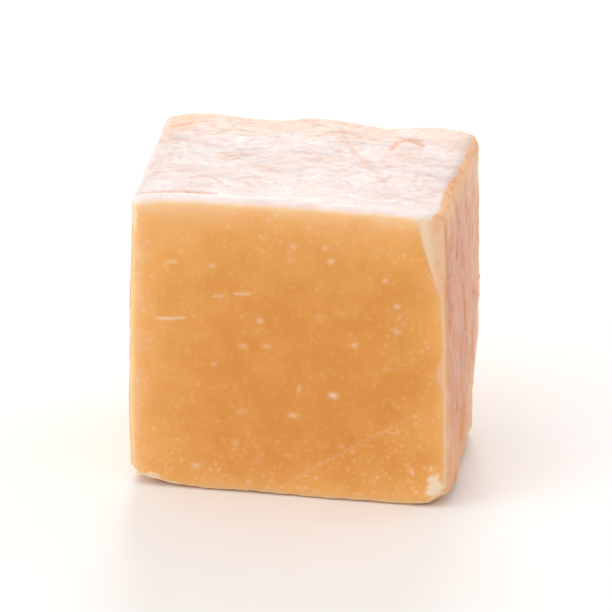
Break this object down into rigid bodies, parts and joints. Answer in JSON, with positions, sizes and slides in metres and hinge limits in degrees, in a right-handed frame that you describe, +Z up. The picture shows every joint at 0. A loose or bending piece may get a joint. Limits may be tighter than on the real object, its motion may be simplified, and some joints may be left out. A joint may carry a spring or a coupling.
{
  "type": "caramel candy",
  "caption": "Bite-size cut block of soft caramel with a smooth cut front, a wrinkled glossy top, worn rounded edges and a small flat to stand on.",
  "frame": {"origin": "middle of the block's footprint, on the surface it stands on", "axes": "+X along the width, -Y out of the smooth cut front face, +Z up from the flat underside"},
  "size_m": [0.0218, 0.0139, 0.0221],
  "materials": {
    "caramel": "satin"
  },
  "bodies": {
    "root": {"caramel_block": "caramel"}
  },
  "joints": []
}
